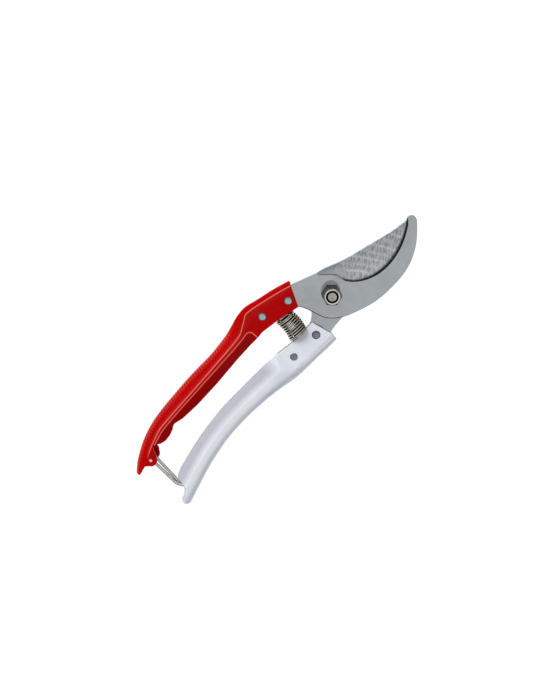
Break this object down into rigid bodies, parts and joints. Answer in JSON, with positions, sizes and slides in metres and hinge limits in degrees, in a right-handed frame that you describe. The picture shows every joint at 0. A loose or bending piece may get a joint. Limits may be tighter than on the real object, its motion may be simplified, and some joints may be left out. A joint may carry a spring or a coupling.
{
  "type": "pruning shears",
  "caption": "Bypass pruning shears with a hooked counter blade, a curved cutting blade, pressed steel handles, a coil spring and a wire catch, shown shut.",
  "frame": {"origin": "on the pivot's axis, at the outer flat face of the pivot bolt's head", "axes": "+X along the shears towards the blades' tips, +Y towards the red handle, +Z along the pivot towards the nut"},
  "size_m": [0.2173, 0.0562, 0.0171],
  "materials": {
    "blade_steel": "satin ground",
    "red_enamel": "gloss",
    "white_enamel": "gloss",
    "rivet_steel": "satin",
    "plated_steel": "bright plated",
    "nylon": "matte",
    "spring_steel": "dark oiled",
    "plated_wire": "bright plated"
  },
  "bodies": {
    "red_side": {"red_handle": "red_enamel", "hook_blade": "blade_steel", "red_front_rivet": "rivet_steel", "red_rear_rivet": "rivet_steel", "pivot_bolt": "plated_steel", "pivot_nut": "plated_steel", "nut_insert": "nylon", "spring": "spring_steel"},
    "white_side": {"white_handle": "white_enamel", "cutting_blade": "blade_steel", "white_front_rivet": "rivet_steel", "white_rear_rivet": "rivet_steel"},
    "catch": {"catch_bail": "plated_wire"}
  },
  "joints": [
    {"name": "opening", "type": "hinge", "parent": "red_side", "child": "white_side", "pos_m": [0, 0, 0], "axis": [0, 0, 1], "range_deg": [0, 30], "deforming": ["spring"]},
    {"name": "catch_swing", "type": "hinge", "parent": "red_side", "child": "catch", "pos_m": [-0.142, 0.0108, 0.00566], "axis": [0, 0, 1], "range_deg": [0, 98]}
  ]
}
